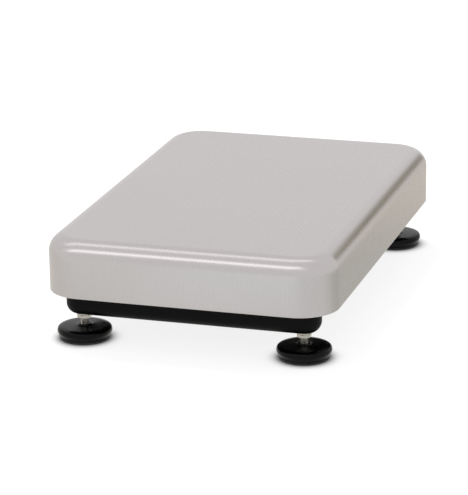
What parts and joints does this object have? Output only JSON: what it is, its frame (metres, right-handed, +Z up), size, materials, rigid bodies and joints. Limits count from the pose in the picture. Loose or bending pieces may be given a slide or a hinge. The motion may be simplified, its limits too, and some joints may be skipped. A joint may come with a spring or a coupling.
{
  "type": "bench scale weighing platform",
  "caption": "Bench scale weighing platform: brushed steel pan on rubber cushions over a single-point load cell, in a black pressed tray on screw-adjusted levelling feet.",
  "frame": {"origin": "under the middle of the pan, on the plane the feet stand on", "axes": "+X to the right seen from the front, +Y to the back along the pan's longer side, +Z up"},
  "size_m": [0.3, 0.45, 0.11],
  "materials": {
    "stainless_pan": "satin, fine grain along the pan's length",
    "black_paint": "semi-gloss black powder coat with a fine texture",
    "gloss_pad": "gloss moulded",
    "rubber": "matt moulded",
    "zinc_plated": "bright zinc plating",
    "frame_steel": "galvanised",
    "black_steel": "black oxide",
    "aluminium": "milled, clear anodised",
    "silicone": "satin silicone",
    "lead_jacket": "satin extruded",
    "black_plastic": "matt moulded",
    "clear_vial": "clear",
    "level_fluid": "clear green liquid",
    "nickel_plated": "nickel plating",
    "gold_contacts": "gold flashed"
  },
  "bodies": {
    "base": {"load_cell": "aluminium", "load_cell_gauge_seals": "silicone", "load_cell_lower_spacer": "aluminium", "load_cell_lower_screws": "black_steel", "load_cell_base_plate": "black_paint", "load_cell_lead_outlet": "silicone", "load_cell_lead": "lead_jacket", "lead_clip": "black_plastic", "lead_clip_screw": "zinc_plated", "base_tray": "black_paint", "foot_bosses": "zinc_plated", "overload_stop_pillars": "zinc_plated", "overload_stop_screws": "zinc_plated", "overload_stop_nuts": "zinc_plated", "level_housing": "black_plastic", "level_vial": "clear_vial", "level_liquid": "level_fluid", "level_screws": "zinc_plated", "socket_body": "nickel_plated", "socket_gasket": "rubber", "socket_insert": "black_plastic", "socket_pins": "gold_contacts", "socket_lock_nut": "nickel_plated", "socket_boot": "rubber"},
    "load_frame": {"frame_side_rails": "frame_steel", "frame_rail_end_caps": "black_plastic", "frame_cross_arms": "frame_steel", "frame_centre_plate": "frame_steel", "load_cell_upper_spacer": "aluminium", "load_cell_upper_screws": "black_steel", "platter_cushion_front_left": "rubber", "platter_cushion_front_right": "rubber", "platter_cushion_rear_left": "rubber", "platter_cushion_rear_right": "rubber"},
    "platter": {"platter_pan": "stainless_pan", "platter_locating_pins": "zinc_plated"},
    "front_left_pad": {"foot_pad_front_left": "gloss_pad", "foot_sole_front_left": "rubber"},
    "front_left_stud": {"foot_stud_front_left": "zinc_plated"},
    "front_left_washer": {"foot_washer_front_left": "zinc_plated"},
    "front_left_nut": {"foot_lock_nut_front_left": "zinc_plated"},
    "front_right_pad": {"foot_pad_front_right": "gloss_pad", "foot_sole_front_right": "rubber"},
    "front_right_stud": {"foot_stud_front_right": "zinc_plated"},
    "front_right_washer": {"foot_washer_front_right": "zinc_plated"},
    "front_right_nut": {"foot_lock_nut_front_right": "zinc_plated"},
    "rear_left_pad": {"foot_pad_rear_left": "gloss_pad", "foot_sole_rear_left": "rubber"},
    "rear_left_stud": {"foot_stud_rear_left": "zinc_plated"},
    "rear_left_washer": {"foot_washer_rear_left": "zinc_plated"},
    "rear_left_nut": {"foot_lock_nut_rear_left": "zinc_plated"},
    "rear_right_pad": {"foot_pad_rear_right": "gloss_pad", "foot_sole_rear_right": "rubber"},
    "rear_right_stud": {"foot_stud_rear_right": "zinc_plated"},
    "rear_right_washer": {"foot_washer_rear_right": "zinc_plated"},
    "rear_right_nut": {"foot_lock_nut_rear_right": "zinc_plated"}
  },
  "joints": [
    {"name": "weigh_deflection", "type": "slide", "parent": "base", "child": "load_frame", "axis": [0, 0, 1], "range_m": [-0.0005, 0], "stiffness_N_per_m": 1200000, "deforming": ["load_cell"]},
    {"name": "platter_lift", "type": "slide", "parent": "load_frame", "child": "platter", "axis": [0, 0, 1], "range_m": [0, 0.15]},
    {"name": "front_left_height", "type": "slide", "parent": "base", "child": "front_left_pad", "axis": [0, 0, 1], "range_m": [-0.01, 0.00125]},
    {"name": "front_left_stud_turn", "type": "hinge", "parent": "front_left_pad", "child": "front_left_stud", "pos_m": [-0.115, -0.19, 0], "axis": [0, 0, 1], "range_deg": [-2880, 360]},
    {"name": "front_left_washer_drop", "type": "slide", "parent": "base", "child": "front_left_washer", "axis": [0, 0, 1], "range_m": [-0.00156, 0]},
    {"name": "front_left_nut_turn", "type": "hinge", "parent": "front_left_washer", "child": "front_left_nut", "pos_m": [-0.115, -0.19, 0], "axis": [0, 0, 1], "range_deg": [-450, 0]},
    {"name": "front_right_height", "type": "slide", "parent": "base", "child": "front_right_pad", "axis": [0, 0, 1], "range_m": [-0.01, 0.00125]},
    {"name": "front_right_stud_turn", "type": "hinge", "parent": "front_right_pad", "child": "front_right_stud", "pos_m": [0.115, -0.19, 0], "axis": [0, 0, 1], "range_deg": [-2880, 360]},
    {"name": "front_right_washer_drop", "type": "slide", "parent": "base", "child": "front_right_washer", "axis": [0, 0, 1], "range_m": [-0.00156, 0]},
    {"name": "front_right_nut_turn", "type": "hinge", "parent": "front_right_washer", "child": "front_right_nut", "pos_m": [0.115, -0.19, 0], "axis": [0, 0, 1], "range_deg": [-450, 0]},
    {"name": "rear_left_height", "type": "slide", "parent": "base", "child": "rear_left_pad", "axis": [0, 0, 1], "range_m": [-0.01, 0.00125]},
    {"name": "rear_left_stud_turn", "type": "hinge", "parent": "rear_left_pad", "child": "rear_left_stud", "pos_m": [-0.115, 0.19, 0], "axis": [0, 0, 1], "range_deg": [-2880, 360]},
    {"name": "rear_left_washer_drop", "type": "slide", "parent": "base", "child": "rear_left_washer", "axis": [0, 0, 1], "range_m": [-0.00156, 0]},
    {"name": "rear_left_nut_turn", "type": "hinge", "parent": "rear_left_washer", "child": "rear_left_nut", "pos_m": [-0.115, 0.19, 0], "axis": [0, 0, 1], "range_deg": [-450, 0]},
    {"name": "rear_right_height", "type": "slide", "parent": "base", "child": "rear_right_pad", "axis": [0, 0, 1], "range_m": [-0.01, 0.00125]},
    {"name": "rear_right_stud_turn", "type": "hinge", "parent": "rear_right_pad", "child": "rear_right_stud", "pos_m": [0.115, 0.19, 0], "axis": [0, 0, 1], "range_deg": [-2880, 360]},
    {"name": "rear_right_washer_drop", "type": "slide", "parent": "base", "child": "rear_right_washer", "axis": [0, 0, 1], "range_m": [-0.00156, 0]},
    {"name": "rear_right_nut_turn", "type": "hinge", "parent": "rear_right_washer", "child": "rear_right_nut", "pos_m": [0.115, 0.19, 0], "axis": [0, 0, 1], "range_deg": [-450, 0]}
  ],
  "couplings": [
    {"joint": "front_left_stud_turn", "follows": "front_left_height", "rad_per_m": 5026.5},
    {"joint": "front_left_nut_turn", "follows": "front_left_washer_drop", "rad_per_m": 5026.5},
    {"joint": "front_right_stud_turn", "follows": "front_right_height", "rad_per_m": 5026.5},
    {"joint": "front_right_nut_turn", "follows": "front_right_washer_drop", "rad_per_m": 5026.5},
    {"joint": "rear_left_stud_turn", "follows": "rear_left_height", "rad_per_m": 5026.5},
    {"joint": "rear_left_nut_turn", "follows": "rear_left_washer_drop", "rad_per_m": 5026.5},
    {"joint": "rear_right_stud_turn", "follows": "rear_right_height", "rad_per_m": 5026.5},
    {"joint": "rear_right_nut_turn", "follows": "rear_right_washer_drop", "rad_per_m": 5026.5}
  ]
}
